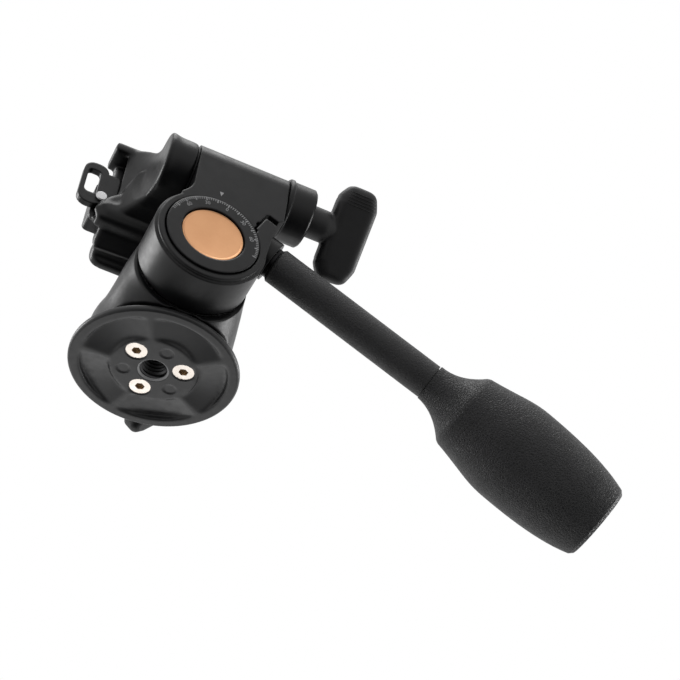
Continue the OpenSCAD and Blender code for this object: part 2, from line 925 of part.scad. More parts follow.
module underside() {
    tip_x = plat_x0 - pad_over;
    waist_x = plat_x0 + pad_waist;
    mirror_x = plat_x0 + plat_x1;
    translate([0, 0, plat_n0 + panel_t]) linear_extrude(pad_top - plat_n0 - panel_t + eps)
        both_ends(pad_front(tip_x, waist_x, plat_x0 + pad_heel), mirror_x);
    translate([0, 0, plat_n0]) linear_extrude(panel_t + eps)
        both_ends(panel_front(tip_x, waist_x), mirror_x);
    translate([tip_x + over, over - plat_w, plat_n0])
        cube([plat_x1 - plat_x0 + 2 * over, skirt_t, flare_n - plat_n0]);
}

module lever_slot() {
    slot_x0 = plat_x0 - through;
    translate([slot_x0, -lever_slot_w, lever_n - gap])
        cube([plat_x0 + lever_slot_len - slot_x0, 2 * lever_slot_w, lever_slot_t]);
}

// Tongue in front of the channel floor that carries the lever pin
module lever_lug() {
    translate([0, 0, lug_n]) linear_extrude(channel_n - lug_n - gap)
        polygon(round_rect(lever_pin_x - lug_reach, lug_y0, plat_x0 + lug_root, lug_y1, lug_corner));
}

// Turned hub with a flared rim at its far end
module hub() {
    rotate([0, 90, 0]) rotate_extrude() polygon([
        [0, hub_x0], [tube_r + hub_flare - edge_c, hub_x0], [tube_r + hub_flare, hub_x0 + edge_c],
        [tube_r, hub_x0 + hub_len / 3], [tube_r, hub_x1 - edge_c], [tube_r - edge_c, hub_x1], [0, hub_x1]
    ]);
}

// Arm between hub and pad: two swept profiles, one across the platform and one along it
module hub_arm() {
    foot_n = plat_n0 + panel_t + over;
    foot_up = over - plat_w;
    foot_down = pad_w - 2 * over;
    foot_x = hub_x0 - arm_foot;
    intersection() {
        along_x(foot_x, hub_x1) polygon(concat(
            bezier([-tube_r, 0], [-tube_r, foot_n / 2],
                [-tube_r - arm_rise, foot_n - arm_rise], [foot_up, foot_n], curve_steps),
            bezier([foot_down, foot_n], [tube_r + over, foot_n - 2 * over],
                [tube_r, foot_n / 2], [tube_r, 0], curve_steps)
        ));
        along_y(foot_up, foot_down) polygon(concat(
            bezier([hub_x0, 0], [hub_x0, foot_n / 2],
                [hub_x0 - arm_foot / 3, foot_n - arm_foot / 2], [foot_x, foot_n], curve_steps),
            [[hub_x1, foot_n], [hub_x1, 0]]
        ));
    }
}

module platform_body() {
    color([0.12, 0.12, 0.125])
    at_platform()
    difference() {
        union() {
            intersection() {
                along_x(plat_x0, plat_x1) platform_section();
                linear_extrude(through) rail_outline();
            }
            difference() {
                underside();
                lever_slot();
            }
            lever_lug();
            hub();
            hub_arm();
        }
        translate([lever_pin_x, lever_pin_y, 0]) cylinder(r = lever_pin_r + run, h = channel_n);
        rod_x(shaft_r + run, hub_x1 - shaft_in_hub, hub_x1 + over);
        translate([pin_x, pin_y1, 0]) rotate([90, 0, 0]) cylinder(r = pin_r + run, h = through);
    }
}

module roll_shaft() {
    color([0.7, 0.7, 0.71])
    at_platform()
    difference() {
        union() {
            rod_x(shaft_r, hub_x1 - shaft_in_hub + seat, shaft_x1);
            rod_x(shaft_thread_r, shaft_x1 - over, stud_x1);
        }
        translate([pin_x, 0, 0]) rotate([90, 0, 0]) cylinder(r = pin_r + run, h = through, center = true);
    }
}

module shaft_pin() {
    color([0.75, 0.75, 0.76])
    at_platform() translate([pin_x, pin_y1 - seat, 0]) rotate([90, 0, 0])
        cylinder(r = pin_r, h = tube_r + pin_y1 - over);
}

module roll_washer() {
    color([0.85, 0.83, 0.76])
    at_roll()
    difference() {
        rod_x(tube_r - over, hub_x1 + run, tube_x0 - run);
        rod_x(shaft_r + gap, hub_x0, tube_x0 + over);
    }
}

// Flat lever: finger loop outside, boss on the pin, tail in the slot of the platform
module release_lever() {
    loop_x0 = lever_pin_x - lever_reach;
    loop_x1 = lever_pin_x - over;
    loop_y0 = lever_pin_y - lever_loop_up;
    loop_y1 = loop_y0 + lever_loop_len;
    color([0.1, 0.1, 0.105])
    at_platform() translate([0, 0, lever_n])
    linear_extrude(lever_t)
    difference() {
        union() {
            polygon(round_rect(loop_x0, loop_y0, loop_x1 + lever_bar, loop_y1, lever_corner));
            translate([lever_pin_x, lever_pin_y]) circle(r = lever_boss_r);
            polygon(round_rect(
                loop_x1 - over, loop_y0 + 2 * lever_bar,
                lever_pin_x + lever_tail, loop_y1 - lever_bar, lever_bar
            ));
        }
        polygon(round_rect(
            loop_x0 + lever_bar, loop_y0 + 2 * lever_bar, loop_x1 - over, loop_y1 - 3 * lever_bar, lever_bar
        ));
        translate([lever_pin_x, lever_pin_y]) circle(r = lever_pin_r + run);
    }
}

// Rivet with its head on the lever
module lever_pin() {
    top_n = lever_n - rivet_h - seat;
    color([0.82, 0.83, 0.84])
    at_platform() translate([lever_pin_x, lever_pin_y, 0])
    rotate_extrude() polygon([
        [0, top_n], [rivet_r - seam, top_n], [rivet_r, top_n + seam], [rivet_r, lever_n - seat],
        [lever_pin_r, lever_n - seat], [lever_pin_r, channel_n - gap], [0, channel_n - gap]
    ]);
}

// Quick-release plate
module plate_outline() {
    polygon(round_rect(plat_x0, -channel_w, plat_x1, channel_w, plate_corner));
    polygon(round_rect(plate_x0, -nose_w, plate_x1, nose_w, nose_corner));
}

module quick_plate() {
    w0 = channel_w - gap;
    w1 = channel_w - dovetail - gap;
    color([0.1, 0.1, 0.105])
    at_platform()
    difference() {
        intersection() {
            along_x(plate_x0, plate_x1)
                polygon([[-w0, channel_n + seat], [-w1, plat_n1], [w1, plat_n1], [w0, channel_n + seat]]);
            linear_extrude(through) plate_outline();
        }
        translate([plate_mid_x, 0, 0]) cylinder(d = camera_d + 2 * seat, h = through);
        translate([plate_mid_x, 0, 0]) cylinder(r = screw_head_r + gap, h = channel_n + screw_head_t + over);
    }
}

module plate_pad() {
    color([0.05, 0.05, 0.05])
    at_platform()
    difference() {
        translate([0, 0, plat_n1]) linear_extrude(pad_t) polygon(round_rect(
            plat_x0 + pad_inset, pad_inset - channel_w,
            plat_x1 - pad_inset, channel_w - pad_inset, plate_corner / 2
        ));
        translate([plate_mid_x, 0, 0]) cylinder(d = camera_d + 2 * over, h = through);
    }
}

module camera_screw() {
    head_n = channel_n + screw_sink;
    stud_n = plat_n1 + pad_t + stud_clear;
    color([0.78, 0.78, 0.79])
    at_platform() translate([plate_mid_x, 0, 0])
    difference() {
        rotate_extrude() polygon([
            [0, head_n], [screw_head_r, head_n], [screw_head_r, head_n + screw_head_t],
            [camera_shank_r, head_n + screw_head_t], [camera_shank_r, stud_n],
            [camera_d / 2, stud_n], [camera_d / 2, stud_n + camera_len], [0, stud_n + camera_len]
        ]);
        translate([-through / 2, -coin_slot_w / 2, head_n - over])
            cube([through, coin_slot_w, over + coin_slot_depth]);
    }
}

base_plate();
base_screws();
pan_spindle();
base_washer();
pan_housing();
keeper_ring();
keeper_screws();
pan_washer();
pan_brake_shoe();
pan_knob();
pan_knob_screw();
tilt_axle();
axle_disc();
tilt_dial();
axle_cap();
axle_bolt();
axle_bolt_washer();
tilt_washer();
tilt_casting();
tilt_liner();
roll_bushes();
roll_collar();
collar_washer();
handle_rod();
handle_stud();
handle_washer();
handle_grip();
roll_knob();
roll_knob_insert();
platform_body();
roll_shaft();
shaft_pin();
roll_washer();
release_lever();
lever_pin();
quick_plate();
plate_pad();
camera_screw();
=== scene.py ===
import math

import bpy
import numpy as np
from mathutils import Matrix, Vector
from mathutils.bvhtree import BVHTree


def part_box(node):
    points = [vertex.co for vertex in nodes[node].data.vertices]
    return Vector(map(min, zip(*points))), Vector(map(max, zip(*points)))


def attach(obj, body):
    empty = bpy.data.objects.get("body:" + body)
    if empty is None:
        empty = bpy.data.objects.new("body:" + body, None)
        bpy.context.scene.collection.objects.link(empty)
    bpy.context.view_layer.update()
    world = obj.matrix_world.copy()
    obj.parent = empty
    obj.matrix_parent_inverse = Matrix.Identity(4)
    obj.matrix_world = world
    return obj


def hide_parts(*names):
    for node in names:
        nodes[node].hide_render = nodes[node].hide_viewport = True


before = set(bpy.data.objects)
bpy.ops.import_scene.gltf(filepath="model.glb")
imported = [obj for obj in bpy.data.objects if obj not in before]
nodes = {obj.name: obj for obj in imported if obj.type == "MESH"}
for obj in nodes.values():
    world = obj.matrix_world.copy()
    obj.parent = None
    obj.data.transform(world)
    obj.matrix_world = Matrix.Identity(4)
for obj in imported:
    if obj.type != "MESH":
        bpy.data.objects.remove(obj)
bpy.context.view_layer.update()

MM = 0.001
scene = bpy.context.scene

# Axes and faces of the head, as in the CAD. Lengths are in millimetres unless a comment says so
TILT_Z = 25.8
ROLL_Y, ROLL_Z = -35.5, 62.5
DIAL_Y = -46.6


# Shader building
EDGE_NONE, EDGE_FULL = 0.985, 0.80      # cosine between the true normal and the softened one


class Tree:
    """A node tree under construction. A method that makes a value returns its output socket."""

    def __init__(self, owner, output):
        self.owner = owner
        owner.use_nodes = True
        self.tree = owner.node_tree
        self.tree.nodes.clear()
        self.out = self.add(output)

    def add(self, kind, **props):
        node = self.tree.nodes.new(kind)
        for key, value in props.items():
            setattr(node, key, value)
        return node

    def link(self, a, b):
        self.tree.links.new(a, b)

    def put(self, socket, value):
        """Links a socket to another socket, or sets it to a plain value."""
        if isinstance(value, bpy.types.NodeSocket):
            self.link(value, socket)
        else:
            socket.default_value = value

    def math(self, op, a, b=0.0):
        node = self.add("ShaderNodeMath", operation=op)
        self.put(node.inputs[0], a)
        self.put(node.inputs[1], b)
        return node.outputs[0]

    def vec(self, op, a, b):
        node = self.add("ShaderNodeVectorMath", operation=op)
        self.put(node.inputs[0], a)
        self.put(node.inputs[1], b)
        return node.outputs["Value" if op == "DOT_PRODUCT" else "Vector"]

    def scaled(self, vector, factor):
        node = self.add("ShaderNodeVectorMath", operation="SCALE")
        self.put(node.inputs[0], vector)
        node.inputs["Scale"].default_value = factor
        return node.outputs["Vector"]

    def place(self):
        """The object's own coordinates, in metres."""
        if not hasattr(self, "coord"):
            self.coord = self.add("ShaderNodeTexCoord")
        return self.coord.outputs["Object"]

    def xyz(self):
        if not hasattr(self, "split"):
            self.split = self.add("ShaderNodeSeparateXYZ")
            self.link(self.place(), self.split.inputs[0])
        return self.split.outputs

    def noise(self, scale, detail=3.0, rough=0.55, at=None):
        node = self.add("ShaderNodeTexNoise")
        self.put(node.inputs["Vector"], at or self.place())
        node.inputs["Scale"].default_value = scale
        node.inputs["Detail"].default_value = detail
        node.inputs["Roughness"].default_value = rough
        return node.outputs["Fac"]

    def cells(self, scale, at=None):
        """Distance to the nearest border between cells."""
        node = self.add("ShaderNodeTexVoronoi", feature="DISTANCE_TO_EDGE")
        self.put(node.inputs["Vector"], at or self.place())
        node.inputs["Scale"].default_value = scale
        return node.outputs["Distance"]

    def remap(self, value, lo, hi, to_lo=0.0, to_hi=1.0):
        node = self.add("ShaderNodeMapRange", clamp=True)
        settings = {"Value": value, "From Min": lo, "From Max": hi, "To Min": to_lo,
                    "To Max": to_hi}
        for key, setting in settings.items():
            self.put(node.inputs[key], setting)
        return node.outputs["Result"]

    def blend(self, fac, a, b):
        node = self.add("ShaderNodeMix", data_type="RGBA")
        self.put(node.inputs["Factor"], fac)
        self.put(node.inputs["A"], rgba(a) if isinstance(a, tuple) else a)
        self.put(node.inputs["B"], rgba(b) if isinstance(b, tuple) else b)
        return node.outputs["Result"]

    def bump(self, height, distance, normal):
        node = self.add("ShaderNodeBump")
        node.inputs["Strength"].default_value = 1.0
        node.inputs["Distance"].default_value = distance
        self.put(node.inputs["Height"], height)
        self.link(normal, node.inputs["Normal"])
        return node.outputs["Normal"]

    def rounded(self, radius):
        """Softened edge normal, and a mask that is 1 on an edge."""
        node = self.add("ShaderNodeBevel", samples=8)
        node.inputs["Radius"].default_value = radius
        flat = self.add("ShaderNodeNewGeometry").outputs["Normal"]
        dot = self.vec("DOT_PRODUCT", node.outputs["Normal"], flat)
        return node.outputs["Normal"], self.remap(dot, EDGE_NONE, EDGE_FULL)

    def radius_from(self, a, b, at_a=0.0, at_b=0.0):
        """Distance from an axis in the plane of two coordinates."""
        da = self.math("SUBTRACT", a, at_a)
        db = self.math("SUBTRACT", b, at_b)
        squares = self.math("ADD", self.math("MULTIPLY", da, da), self.math("MULTIPLY", db, db))
        return self.math("SQRT", squares)


def material_tree(name):
    return Tree(bpy.data.materials.new(name), "ShaderNodeOutputMaterial")


def rgba(c):
    return (c[0], c[1], c[2], 1.0)


def srgb(r, g, b):
    """A colour written as it looks on screen, 0 to 255."""
    def one(v):
        v /= 255.0
        return v / 12.92 if v <= 0.04045 else ((v + 0.055) / 1.055) ** 2.4
    return (one(r), one(g), one(b))


def grey(v):
    """A grey with a trace of blue, 0 to 255."""
    return srgb(v, v, v + 1)


SCUFF_SCALE = 900.0                     # of the noise that breaks up the worn edges


def surface(name, base, alt, rough, grain, spec=0.5, metallic=0.0, mottle=90.0, edge=None,
            edge_radius=0.45, extra=None):
    """A Principled surface with mottled colour, uneven gloss, a fine grain and soft, worn edges.

    base and alt are the colours of the mottling, whose noise has the scale mottle. rough is the
    range of the roughness. grain is a height maker with its bump in mm. edge is a tint with its
    share. edge_radius is in mm. extra changes the colour in places.
    """
    t = material_tree(name)
    shader = t.add("ShaderNodeBsdfPrincipled")
    t.link(shader.outputs[0], t.out.inputs["Surface"])
    colour = t.blend(t.remap(t.noise(mottle, 4.0), 0.35, 0.68), base, alt)
    normal, mask = t.rounded(edge_radius * MM)
    if edge:
        tint, share = edge
        scuff = t.remap(t.noise(SCUFF_SCALE, 5.0, 0.7), 0.42, 0.62)
        worn = t.math("MULTIPLY", t.math("MULTIPLY", mask, scuff), share)
        colour = t.blend(worn, colour, tint)
    if extra:
        colour = extra(t, colour)
    gloss = t.remap(t.noise(mottle * 4, 3.0), 0.3, 0.7, rough[0], rough[1])
    height, depth = grain
    t.link(colour, shader.inputs["Base Color"])
    t.link(gloss, shader.inputs["Roughness"])
    t.link(t.bump(height(t), depth * MM, normal), shader.inputs["Normal"])
    shader.inputs["Specular IOR Level"].default_value = spec
    shader.inputs["Metallic"].default_value = metallic
    return t.owner


# Grains: each gives a height. Scales are per metre
def powder(t):
    return t.noise(2600.0, 2.0)


def spark(t):
    return t.noise(3400.0, 2.0, 0.7)


def brushed(t):
    """Noise squeezed along Z into strokes."""
    stretch = t.add("ShaderNodeMapping")
    stretch.inputs["Scale"].default_value = (1.0, 1.0, 30.0)
    t.link(t.place(), stretch.inputs["Vector"])
    return t.noise(700.0, 3.0, 0.6, stretch.outputs["Vector"])


def rings(t, radius, turn, share):
    """Waves along a radius, turn radians to the metre."""
    return t.math("MULTIPLY", t.math("SINE", t.math("MULTIPLY", radius, turn)), share)


def turned(t):
    """Fine rings about the tilt axis, left by the lathe."""
    r = t.radius_from(t.xyz()["X"], t.xyz()["Z"], 0.0, TILT_Z * MM)
    return t.math("ADD", rings(t, r, 52000.0, 0.25), t.noise(2400.0, 2.0))


def spun(t):
    """Fine rings about the pan axis on the base."""
    r = t.radius_from(t.xyz()["X"], t.xyz()["Y"])
    return t.math("ADD", rings(t, r, 21000.0, 0.12), t.noise(2600.0, 2.0))


def leather(t):
    """Pebbled grain with soft valleys, warped so that no row shows."""
    warp = t.add("ShaderNodeTexNoise")
    t.link(t.place(), warp.inputs["Vector"])
    warp.inputs["Scale"].default_value = 420.0
    shift = t.scaled(t.vec("SUBTRACT", warp.outputs["Color"], (0.5, 0.5, 0.5)), 0.9 * MM)
    pebbles = t.remap(t.cells(1050.0, at=t.vec("ADD", t.place(), shift)), 0.0, 0.22)
    return t.math("ADD", pebbles, t.math("MULTIPLY", t.noise(2200.0, 2.0), 0.35))


def orange_peel(t):
    return t.math("ADD", t.noise(1900.0, 2.0), t.math("MULTIPLY", t.cells(1700.0), 0.6))


PAD_RIB_PITCH = 1.6


def ribbed(t):
    """Fine moulded ribs across the pad."""
    turn = 2 * math.pi / (PAD_RIB_PITCH * MM)
    rows = t.math("SINE", t.math("MULTIPLY", t.xyz()["X"], turn))
    fine = t.math("MULTIPLY", t.noise(1900.0, 2.0), 0.25)
    return t.math("ADD", t.remap(rows, -0.4, 0.4), fine)


# Local changes of colour
def bare_mouth(t, colour):
    """The chamfer at the mouth of the tripod thread is bare metal."""
    near_axis = t.remap(t.radius_from(t.xyz()["X"], t.xyz()["Y"]), 5.55 * MM, 5.40 * MM)
    near_face = t.remap(t.xyz()["Z"], 0.75 * MM, 0.65 * MM)
    return t.blend(t.math("MULTIPLY", near_axis, near_face), colour, grey(150))


def dark_socket(t, colour):
    """Painted shade: the hex sockets of the base screws are painted darker and warmer the deeper
    they go, where shade falls in them.
    """
    return t.blend(t.remap(t.xyz()["Z"], 0.55 * MM, 1.1 * MM), colour, srgb(186, 166, 140))


# Materials
SCUFF = (grey(80), 0.22)
casting = surface("black_casting", grey(14), grey(19), (0.30, 0.40), (powder, 0.010),
                  spec=0.26, edge=SCUFF, edge_radius=0.8)
base_casting = surface("base_casting", grey(32), grey(38), (0.34, 0.44), (spun, 0.010),
                       spec=0.42, edge=SCUFF, edge_radius=0.5, extra=bare_mouth)
plastic = surface("black_plastic", grey(22), grey(27), (0.42, 0.52), (spark, 0.012),
                  spec=0.36, edge=(grey(66), 0.2), edge_radius=0.6)
rubber = surface("grip_rubber", grey(27), grey(34), (0.44, 0.56), (leather, 0.17),
                 spec=0.36, mottle=60.0)
pad_rubber = surface("pad_rubber", grey(20), grey(27), (0.62, 0.75), (ribbed, 0.12), spec=0.3)
rod_black = surface("rod_black", grey(28), grey(34), (0.42, 0.54), (orange_peel, 0.30),
                    spec=0.4, edge=SCUFF)
steel = surface("steel", grey(205), grey(188), (0.20, 0.32), (brushed, 0.004),
                metallic=1.0, edge_radius=0.15)
dark_steel = surface("dark_steel", grey(44), grey(36), (0.30, 0.42), (brushed, 0.004),
                     metallic=1.0, edge_radius=0.15)
# The screw steel carries painted shade inside the hex sockets of the base screws
screw_steel = surface("screw_steel", srgb(236, 227, 218), srgb(226, 217, 208), (0.24, 0.34),
                      (spark, 0.004), metallic=1.0, edge_radius=0.15, extra=dark_socket)
alloy = surface("alloy", grey(168), grey(150), (0.32, 0.44), (brushed, 0.006),
                metallic=1.0, edge_radius=0.25)
gold = surface("gold_anodised", srgb(212, 160, 118), srgb(204, 152, 111), (0.36, 0.44),
               (turned, 0.003), metallic=1.0, edge=(srgb(240, 200, 160), 0.5), edge_radius=0.3)
brass = surface("brass", srgb(196, 160, 92), srgb(178, 142, 78), (0.25, 0.36), (brushed, 0.004),
                metallic=1.0)
nylon = surface("nylon", srgb(222, 219, 206), srgb(212, 208, 194), (0.42, 0.52), (spark, 0.01),
                spec=0.45)
dark_nylon = surface("dark_nylon", grey(16), grey(20), (0.5, 0.6), (spark, 0.01), spec=0.3)
paint = surface("dial_paint", grey(150), grey(130), (0.5, 0.6), (powder, 0.004),
                spec=0.3, edge_radius=0.05)
bare = surface("bare_thread", grey(84), grey(70), (0.30, 0.42), (brushed, 0.004),
               metallic=1.0, edge_radius=0.1)

LOOKS = {
    "base_plate": base_casting, "base_screws": screw_steel, "pan_spindle": alloy,
    "base_washer": dark_nylon, "pan_housing": casting, "keeper_ring": alloy,
    "keeper_screws": steel, "pan_washer": nylon, "pan_brake_shoe": nylon, "pan_knob": plastic,
    "pan_knob_screw": steel, "tilt_axle": alloy, "axle_disc": alloy, "tilt_dial": casting,
    "axle_cap": gold, "axle_bolt": steel, "axle_bolt_washer": steel, "tilt_washer": dark_nylon,
    "tilt_casting": casting, "tilt_liner": nylon, "roll_bushes": nylon, "roll_collar": casting,
    "collar_washer": dark_steel, "handle_rod": rod_black, "handle_stud": steel,
    "handle_washer": dark_steel, "handle_grip": rubber, "roll_knob": plastic,
    "roll_knob_insert": brass, "platform_body": casting, "roll_shaft": steel,
    "shaft_pin": steel, "roll_washer": dark_nylon, "release_lever": casting,
    "lever_pin": steel, "quick_plate": casting, "plate_pad": pad_rubber, "camera_screw": steel,
}
for name, look in LOOKS.items():
    data = nodes[name].data
    data.materials.clear()
    data.materials.append(look)


# Meshes
def piece(name, verts, faces, look, body, smooth=False):
    """A new mesh, given in millimetres, that rides on a CAD body."""
    mesh = bpy.data.meshes.new(name)
    mesh.from_pydata([tuple(c * MM for c in v) for v in verts], [], faces)
    mesh.validate()
    mesh.polygons.foreach_set("use_smooth", [smooth] * len(mesh.polygons))
    mesh.materials.append(look)
    obj = bpy.data.objects.new(name, mesh)
    scene.collection.objects.link(obj)
    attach(obj, body)
    return obj


def sweep(sections, loops=True):
    """Skins a row of equal sections: closed loops with both ends capped, or open lines."""
    n = len(sections[0])
    verts = [p for s in sections for p in s]
    faces = []
    for i in range(len(sections) - 1):
        for k in range(n if loops else n - 1):
            a, b = i * n + k, i * n + (k + 1) % n
            faces.append((a, b, b + n, a + n))
    if loops:
        faces.append(tuple(reversed(range(n))))
        faces.append(tuple(range(len(verts) - n, len(verts))))
    return verts, faces


def joined(parts):
    """Several meshes as one."""
    verts, faces = [], []
    for v, f in parts:
        shift = len(verts)
        verts += [tuple(p) for p in v]
        faces += [tuple(i + shift for i in face) for face in f]
    return verts, faces


def revolve_y(profile, z_axis, steps=96):
    """A line of (radius, y) points turned about an axis along Y."""
    sections = []
    for i in range(steps + 1):
        a = 2 * math.pi * i / steps
        sections.append([(r * math.cos(a), y, z_axis + r * math.sin(a)) for r, y in profile])
    return sweep(sections, loops=False)


def ray_caster(data):
    """A function that gives the point where a ray meets a mesh, in millimetres."""
    tree = BVHTree.FromPolygons([v.co / MM for v in data.vertices],
                                [tuple(p.vertices) for p in data.polygons])

    def cast(origin, way):
        return tree.ray_cast(Vector(origin), Vector(way))[0]
    return cast


def box_mm(node):
    low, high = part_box(node)
    return low / MM, high / MM


# Threads
LEAST_RIDGE = 0.02                      # share of the height that is left at a thread's ends


def thread(radius, crest, pitch, z0, z1, half_foot, half_crest, steps=40):
    """A helical ridge about Z from the wall at radius to the crest, low at both ends."""
    sections = []
    count = int((z1 - z0) / pitch * steps)
    for i in range(count + 1):
        a = 2 * math.pi * i / steps
        z = z0 + pitch * i / steps
        height = max(min(1.0, 2 * i / steps, 2 * (count - i) / steps), LEAST_RIDGE)
        tip = radius + (crest - radius) * height
        ring = [(radius, -half_foot), (tip, -half_crest), (tip, half_crest), (radius, half_foot)]
        sections.append([(r * math.cos(a), r * math.sin(a), z + dz) for r, dz in ring])
    return sweep(sections)


# The 3/8" tripod thread, in the base
verts, faces = thread(radius=4.82, crest=4.05, pitch=1.5875, z0=1.2, z1=11.8,
                      half_foot=0.68, half_crest=0.12)
piece("tripod_thread_ridge", verts, faces, bare, "base")

# The 1/4" stud of the camera screw, along Y
STUD_LENGTH = 4.8
low, high = box_mm("camera_screw")
middle = (low + high) / 2
verts, faces = thread(radius=3.10, crest=3.30, pitch=1.27, z0=0.7, z1=4.2,
                      half_foot=0.42, half_crest=0.08)
verts = [(middle.x + y, high.y - STUD_LENGTH + z, middle.z + x) for x, y, z in verts]
piece("camera_thread_ridge", verts, faces, steel, "screw")


# Marks of the tilt dial, and the index above it
MARK_PROUD, MARK_SUNK = 0.03, 0.04
DIAL_ZERO = 78                          # where the scale's zero lies, in degrees from +X
READINGS = range(-90, 85, 3)
MAJOR_EVERY, FIGURE_EVERY, LAST_FIGURE = 15, 30, 60
TICK_OUTER, MAJOR_INNER, MINOR_INNER = 16.4, 15.0, 15.5
MAJOR_HALF, MINOR_HALF = 0.22, 0.14
FIGURE_R, FIGURE_SIZE = 13.9, 2.1


def bar(p0, p1, across, half):
    """A thin bar from p0 to p1 of the given half width, a mark's height proud towards -Y."""
    corners = [p0 - across * half, p1 - across * half, p1 + across * half, p0 + across * half]
    foot = [c + Vector((0, MARK_SUNK, 0)) for c in corners]
    top = [c - Vector((0, MARK_PROUD, 0)) for c in corners]
    faces = [(4, 5, 6, 7), (0, 1, 5, 4), (1, 2, 6, 5), (2, 3, 7, 6), (3, 0, 4, 7)]
    return foot + top, faces


def figure(text, size, at, x_axis, y_axis):
    """A number as a mesh, laid on a face."""
    curve = bpy.data.curves.new("figure", "FONT")
    curve.body = text
    curve.size = size
    curve.align_x = "CENTER"
    curve.align_y = "CENTER"
    obj = bpy.data.objects.new("figure", curve)
    scene.collection.objects.link(obj)
    depsgraph = bpy.context.evaluated_depsgraph_get()
    mesh = bpy.data.meshes.new_from_object(obj.evaluated_get(depsgraph))
    verts = [at + x_axis * v.co.x + y_axis * v.co.y for v in mesh.vertices]
    faces = [tuple(p.vertices) for p in mesh.polygons]
    bpy.data.objects.remove(obj)
    bpy.data.curves.remove(curve)
    bpy.data.meshes.remove(mesh)
    return verts, faces


dial_centre = Vector((0, DIAL_Y, TILT_Z))
figure_centre = dial_centre - Vector((0, MARK_PROUD, 0))
marks = []
for reading in READINGS:
    a = math.radians(DIAL_ZERO + reading)
    radial = Vector((math.cos(a), 0, math.sin(a)))
    across = Vector((math.sin(a), 0, -math.cos(a)))
    major = reading % MAJOR_EVERY == 0
    inner = MAJOR_INNER if major else MINOR_INNER
    marks.append(bar(dial_centre + radial * inner, dial_centre + radial * TICK_OUTER, across,
                     MAJOR_HALF if major else MINOR_HALF))
    if reading % FIGURE_EVERY == 0 and abs(reading) <= LAST_FIGURE:
        marks.append(figure(str(abs(reading)), FIGURE_SIZE, figure_centre + radial * FIGURE_R,
                            across, radial))
verts, faces = joined(marks)
piece("dial_marks", verts, faces, paint, "pan")


# The gold cap is slightly dished, with a rolled rim
DISH_SHARE, RIM_SHARE = 0.95, 0.05      # of the cap's radius
DISH_EDGE, DISH_DEPTH, DISH_STEPS = 0.12, 0.40, 20
RIM_ROLL = 0.55

low, high = box_mm("axle_cap")
cap_r = high.x
dish = []
for k in range(DISH_STEPS + 1):
    share = k / DISH_STEPS
    dish.append((cap_r * DISH_SHARE * share, low.y + DISH_EDGE + DISH_DEPTH * (1 - share ** 2)))
rim = []
for degrees in range(0, 91, 15):
    a = math.radians(degrees)
    rim.append((cap_r * (DISH_SHARE + RIM_SHARE * math.sin(a)),
                low.y + RIM_ROLL * (1 - math.cos(a))))
verts, faces = revolve_y(dish + rim + [(cap_r, high.y), (0, high.y)], TILT_Z)
cap = piece("axle_cap_dished", verts, faces, gold, "pan", smooth=True)
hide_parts("axle_cap")


# The index on the tilt casting: a triangle of (x, z) points, cast on it from the front
INDEX = [(-0.75, 47.4), (0.75, 47.4), (0.0, 45.3)]
FRONT_Y = -80
cast = ray_caster(nodes["tilt_casting"].data)
corners = [cast((x, FRONT_Y, z), (0, 1, 0)) for x, z in INDEX]
foot = [p + Vector((0, MARK_SUNK, 0)) for p in corners]
top = [p - Vector((0, MARK_PROUD, 0)) for p in corners]
piece("tilt_index", [tuple(p) for p in foot + top],
      [(3, 5, 4), (0, 1, 4, 3), (1, 2, 5, 4), (2, 0, 3, 5)], paint, "tilt")


# Softened stand-ins: fine copies of CAD nodes, smoothed away from their mating faces
def points(mesh, what="co"):
    """One attribute of the vertices as rows of three."""
    flat = np.empty(len(mesh.vertices) * 3)
    mesh.vertices.foreach_get(what, flat)
    return flat.reshape(-1, 3)


def set_points(mesh, co):
    """Moves the vertices to places given in millimetres."""
    mesh.vertices.foreach_set("co", (co * MM).ravel())
    mesh.update()


def fine_copy(node, voxel):
    """A node's mesh, made anew in even faces of one voxel's size."""
    obj = bpy.data.objects.new(node + "_soft", nodes[node].data.copy())
    scene.collection.objects.link(obj)
    remesh = obj.modifiers.new("fine", "REMESH")
    remesh.mode = "VOXEL"
    remesh.voxel_size = voxel * MM
    depsgraph = bpy.context.evaluated_depsgraph_get()
    mesh = bpy.data.meshes.new_from_object(obj.evaluated_get(depsgraph))
    obj.modifiers.clear()
    obj.data = mesh
    return obj


def relax(obj, weight, rounds):
    """Draws each vertex towards the mean of its neighbours, as far as its weight allows."""
    mesh = obj.data
    n = len(mesh.vertices)
    co = points(mesh) / MM
    ends = np.empty(len(mesh.edges) * 2, dtype=np.int64)
    mesh.edges.foreach_get("vertices", ends)
    ends = ends.reshape(-1, 2)
    a = np.concatenate([ends[:, 0], ends[:, 1]])
    b = np.concatenate([ends[:, 1], ends[:, 0]])
    degree = np.bincount(a, minlength=n)[:, None]
    pull = 0.5 * weight(co)[:, None]
    for _ in range(rounds):
        mean = np.stack([np.bincount(a, co[b, k], n) for k in range(3)], 1) / degree
        co += pull * (mean - co)
    mesh.polygons.foreach_set("use_smooth", [True] * len(mesh.polygons))
    set_points(mesh, co)


def fade(d, near, far):
    """1 up to near, falling to 0 at far."""
    return np.clip((far - d) / (far - near), 0.0, 1.0)


def rise(d, near, far):
    """0 up to near, rising to 1 at far."""
    return np.clip((d - near) / (far - near), 0.0, 1.0)


def clear_of(node, near=0.7, far=1.8, others=None):
    """Weight that keeps a node's mating faces: 0 close to other nodes, 1 away from them."""
    verts, faces = [], []
    for other, obj in nodes.items():
        if other != node and (others is None or other in others):
            shift = len(verts)
            verts += [v.co / MM for v in obj.data.vertices]
            faces += [tuple(i + shift for i in p.vertices) for p in obj.data.polygons]
    tree = BVHTree.FromPolygons(verts, faces)

    def weight(co):
        d = np.array([tree.find_nearest(Vector(p), far)[3] or far for p in co])
        return rise(d, near, far)
    return weight


